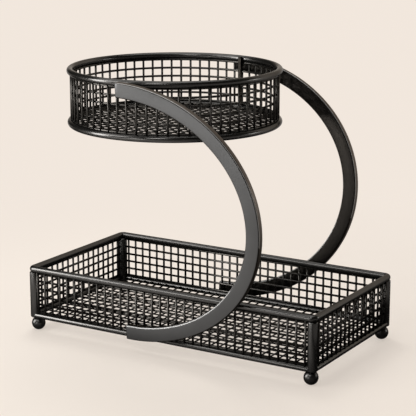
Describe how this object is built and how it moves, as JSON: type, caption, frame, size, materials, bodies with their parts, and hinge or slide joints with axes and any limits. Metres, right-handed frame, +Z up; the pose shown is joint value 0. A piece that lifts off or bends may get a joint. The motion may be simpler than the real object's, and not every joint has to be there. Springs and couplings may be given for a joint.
{
  "type": "wire organizer rack",
  "caption": "Free-standing wire rack: a round mesh basket carried by curved flat-bar arms above a rectangular mesh basket on ball feet, for keeping things on a counter.",
  "frame": {"origin": "floor level under the middle of the lower basket, which is the bottom centre of the bounding box", "axes": "+X along the long side of the lower basket, away from the side the arms open to; +Y to the back; +Z up"},
  "size_m": [0.3736, 0.2596, 0.3079],
  "materials": {
    "black_coating": "satin black powder coat on steel rod, wire and flat bar",
    "gloss_black": "glossier black coat on the ball feet"
  },
  "bodies": {
    "root": {"lower_rim": "black_coating", "corner_post_front_left": "black_coating", "corner_post_front_right": "black_coating", "corner_post_back_left": "black_coating", "corner_post_back_right": "black_coating", "ball_foot_front_left": "gloss_black", "ball_foot_front_right": "gloss_black", "ball_foot_back_left": "gloss_black", "ball_foot_back_right": "gloss_black", "bottom_rail_front": "black_coating", "bottom_rail_back": "black_coating", "bottom_rail_left": "black_coating", "bottom_rail_right": "black_coating", "side_mesh_front": "black_coating", "side_mesh_back": "black_coating", "side_mesh_left": "black_coating", "side_mesh_right": "black_coating", "lower_floor_mesh": "black_coating", "upper_top_ring": "black_coating", "upper_bottom_ring": "black_coating", "upper_wall_mesh": "black_coating", "upper_floor_mesh": "black_coating", "upper_seam_strip": "black_coating", "arm_front": "black_coating", "arm_back": "black_coating"}
  },
  "joints": []
}
